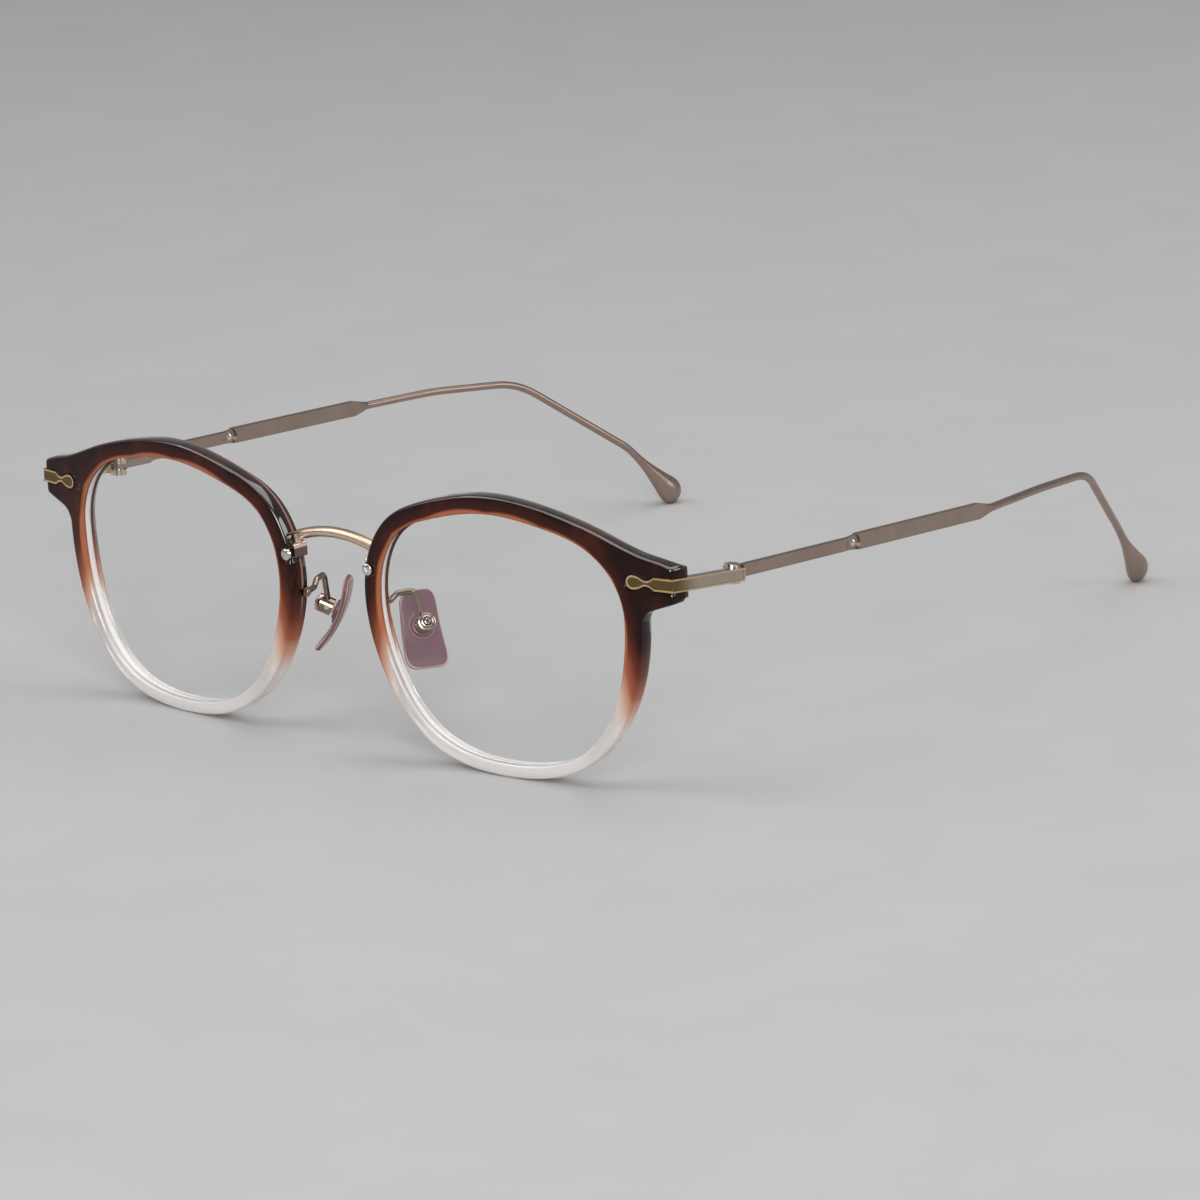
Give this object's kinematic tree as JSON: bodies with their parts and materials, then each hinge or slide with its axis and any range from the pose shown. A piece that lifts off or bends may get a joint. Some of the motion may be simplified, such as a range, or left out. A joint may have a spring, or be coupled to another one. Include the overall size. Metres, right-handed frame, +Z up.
{
  "type": "spectacles",
  "caption": "Full-rim spectacles with a fading acetate front, metal bridge and end pieces, rocking nose pads, clear lenses and metal temples that fold on screwed hinges.",
  "frame": {"origin": "middle of the bounding box, on the surface the spectacles stand on with their temples open", "axes": "+Z up; +X towards the wearer's left; +Y from the front of the spectacles towards the temple tips"},
  "size_m": [0.1416, 0.1556, 0.0472],
  "materials": {
    "acetate": "polished acetate, dark brown at the brow fading through amber to nearly clear below",
    "lens": "clear polished plastic",
    "gold": "antique gold with a brushed sunk field",
    "bronze": "brushed taupe bronze",
    "champagne": "satin champagne",
    "dark_bronze": "polished dark bronze",
    "steel": "bright steel",
    "silicone": "translucent rosy silicone",
    "core": "pale hard plastic"
  },
  "bodies": {
    "front": {"bridge": "champagne", "bridge_screws": "steel", "rim_left": "acetate", "rim_right": "acetate", "lens_left": "lens", "lens_right": "lens", "end_piece_left": "gold", "end_piece_right": "gold", "end_piece_pins_left": "steel", "end_piece_pins_right": "steel", "hinge_screw_left": "steel", "hinge_screw_right": "steel", "hinge_washers_left": "steel", "hinge_washers_right": "steel", "pad_arm_left": "dark_bronze", "pad_arm_right": "dark_bronze", "pad_screw_left": "steel", "pad_screw_right": "steel"},
    "temple_left": {"temple_left": "bronze", "temple_stud_left": "steel"},
    "temple_right": {"temple_right": "bronze", "temple_stud_right": "steel"},
    "nose_pad_left": {"nose_pad_left": "silicone", "pad_core_left": "core"},
    "nose_pad_right": {"nose_pad_right": "silicone", "pad_core_right": "core"}
  },
  "joints": [
    {"name": "temple_left_fold", "type": "hinge", "parent": "front", "child": "temple_left", "pos_m": [0.06797, -0.05552, 0.03415], "axis": [0.0011, 0.0654, 0.9979], "range_deg": [0, 88]},
    {"name": "temple_right_fold", "type": "hinge", "parent": "front", "child": "temple_right", "pos_m": [-0.06797, -0.05552, 0.03415], "axis": [0.0011, -0.0654, -0.9979], "range_deg": [0, 85]},
    {"name": "pad_left_rock", "type": "hinge", "parent": "front", "child": "nose_pad_left", "pos_m": [0.01072, -0.06618, 0.01993], "axis": [0.5299, 0.848, 0], "range_deg": [-8, 8]},
    {"name": "pad_right_rock", "type": "hinge", "parent": "front", "child": "nose_pad_right", "pos_m": [-0.01072, -0.06618, 0.01993], "axis": [-0.5299, 0.848, 0], "range_deg": [-8, 8]}
  ]
}
